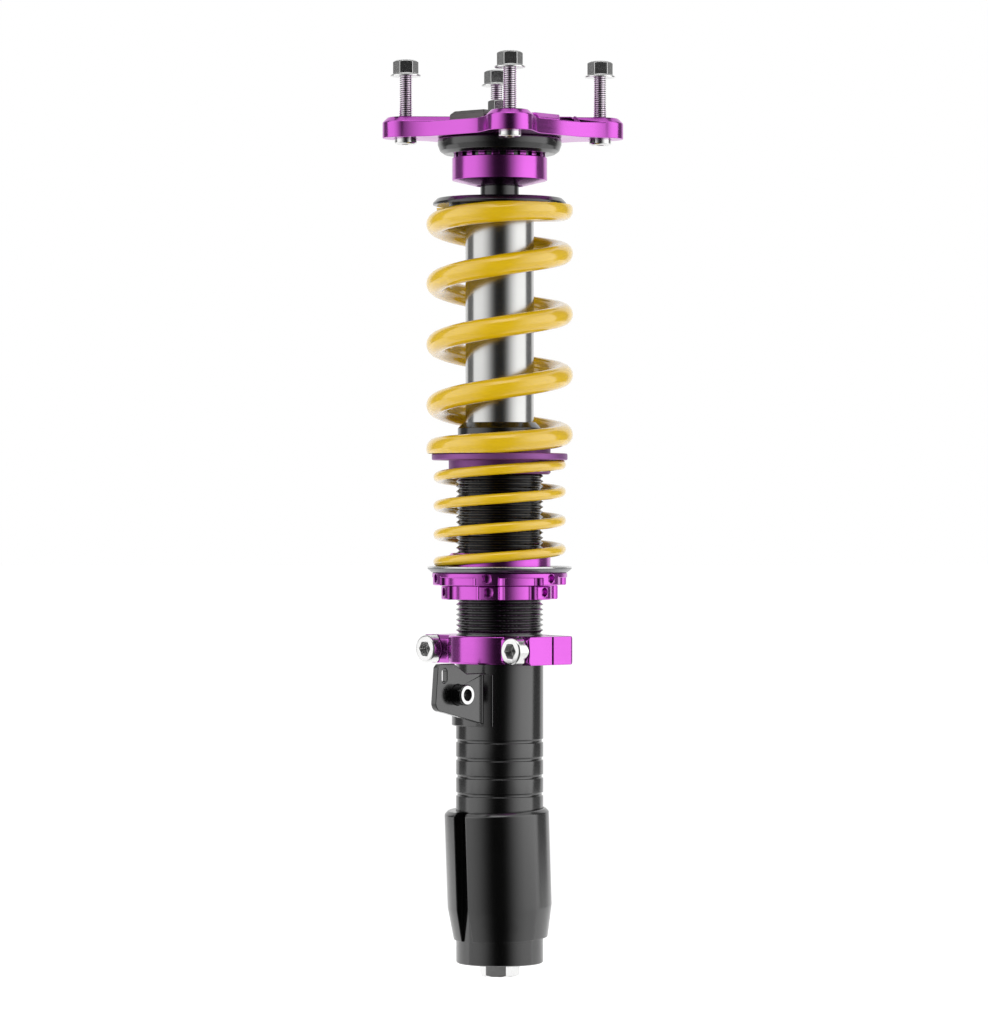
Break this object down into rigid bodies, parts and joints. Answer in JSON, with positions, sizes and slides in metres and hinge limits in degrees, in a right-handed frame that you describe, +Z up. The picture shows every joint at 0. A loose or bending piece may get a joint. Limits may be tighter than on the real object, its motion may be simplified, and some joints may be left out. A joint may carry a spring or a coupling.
{
  "type": "coilover strut",
  "caption": "Upside-down damper strut with a coil spring over a helper spring, threaded perch rings, a split clamp and a four-lobed pillow-ball top mount.",
  "frame": {"origin": "on the strut's axis, at the lower edge of the collar wall that the knuckle clamps", "axes": "+Z up along the strut's axis to the top mount; the top plate's lobes point along X and Y; the knuckle side is at 220 degrees from +X about +Z"},
  "size_m": [0.1412, 0.1412, 0.535],
  "materials": {
    "black_steel": "satin black coat",
    "black_boss": "satin black, machined face",
    "zinc_steel": "bright zinc plate",
    "purple_anodised": "satin purple anodised",
    "dull_purple": "darker satin purple anodised",
    "black_aluminium": "satin black anodised",
    "grey_slider": "dark grey anodised",
    "plain_aluminium": "turned",
    "dark_washer": "dark, bright edge",
    "yellow_spring": "gloss yellow powder coat",
    "polished_steel": "ground and polished",
    "spring_steel": "ground",
    "bearing_bronze": "plain",
    "band_plastic": "filled plastic",
    "black_rubber": "plain",
    "bump_foam": "foam"
  },
  "bodies": {
    "strut_housing": {"strut_tube": "black_steel", "knuckle_collar": "black_steel", "foot_bolt": "zinc_steel", "link_bracket": "black_steel", "bracket_boss": "black_boss", "clamp_front": "purple_anodised", "clamp_rear": "purple_anodised", "clamp_screws": "zinc_steel", "gland_cap": "black_aluminium", "wiper_seal": "black_rubber", "upper_bush": "bearing_bronze", "lower_bush": "bearing_bronze", "piston_rod": "polished_steel", "piston": "bearing_bronze", "piston_band": "band_plastic", "valve_shims": "spring_steel", "piston_nut": "zinc_steel", "rebound_bumper": "bump_foam", "bump_stop": "bump_foam"},
    "perch": {"slip_ring": "dark_washer", "helper_spring": "yellow_spring"},
    "adjuster_nut": {"adjuster_ring": "purple_anodised"},
    "lock_nut": {"lock_ring": "purple_anodised"},
    "coupler": {"spring_coupler": "dull_purple"},
    "damper": {"damper_cylinder": "polished_steel", "rod_guide": "plain_aluminium", "rod_seal": "black_rubber", "seal_retainer": "spring_steel", "end_cap": "polished_steel", "main_spring": "yellow_spring", "upper_seat": "black_aluminium", "seat_spacer": "black_aluminium", "pin_washer": "zinc_steel", "pin_nut": "zinc_steel"},
    "gas_piston": {"floating_piston": "plain_aluminium", "floating_ring": "black_rubber"},
    "ball": {"swivel_ball": "polished_steel"},
    "carrier": {"bearing_race": "spring_steel", "bearing_cup": "purple_anodised", "carrier_ring": "black_aluminium", "camber_slider": "grey_slider", "slider_screws": "zinc_steel"},
    "top_mount": {"top_plate": "purple_anodised", "stud_screws": "zinc_steel", "flange_nuts": "zinc_steel"}
  },
  "joints": [
    {"name": "ride_height", "type": "slide", "parent": "strut_housing", "child": "perch", "axis": [0, 0, 1], "range_m": [-0.018, 0]},
    {"name": "adjuster_turn", "type": "hinge", "parent": "perch", "child": "adjuster_nut", "pos_m": [0, 0, 0.19], "axis": [0, 0, 1], "range_deg": [-2160, 0]},
    {"name": "lock_turn", "type": "hinge", "parent": "perch", "child": "lock_nut", "pos_m": [0, 0, 0.182], "axis": [0, 0, 1], "range_deg": [-2160, 0]},
    {"name": "strut_stroke", "type": "slide", "parent": "perch", "child": "damper", "axis": [0, 0, 1], "range_m": [-0.08, 0], "stiffness_N_per_m": 100000, "springref_m": 0.003, "deforming": ["main_spring"]},
    {"name": "coupler_slide", "type": "slide", "parent": "perch", "child": "coupler", "axis": [0, 0, 1], "range_m": [-0.024, 0], "deforming": ["helper_spring"]},
    {"name": "gas_piston_slide", "type": "slide", "parent": "damper", "child": "gas_piston", "axis": [0, 0, 1], "range_m": [0, 0.0161]},
    {"name": "steer_swivel", "type": "hinge", "parent": "damper", "child": "ball", "pos_m": [0, 0, 0.43], "axis": [0, 0, 1], "range_deg": [-45, 45]},
    {"name": "camber_tilt", "type": "hinge", "parent": "ball", "child": "carrier", "pos_m": [0, 0, 0.43], "axis": [0.7071, -0.7071, 0], "range_deg": [-8, 8]},
    {"name": "camber_slide", "type": "slide", "parent": "carrier", "child": "top_mount", "axis": [0.7071, 0.7071, 0], "range_m": [-0.011, 0.005]}
  ],
  "couplings": [
    {"joint": "adjuster_turn", "follows": "ride_height", "rad_per_m": 2094.4},
    {"joint": "lock_turn", "follows": "ride_height", "rad_per_m": 2094.4},
    {"joint": "coupler_slide", "follows": "strut_stroke", "ratio": 0.3},
    {"joint": "gas_piston_slide", "follows": "strut_stroke", "ratio": -0.1975}
  ]
}
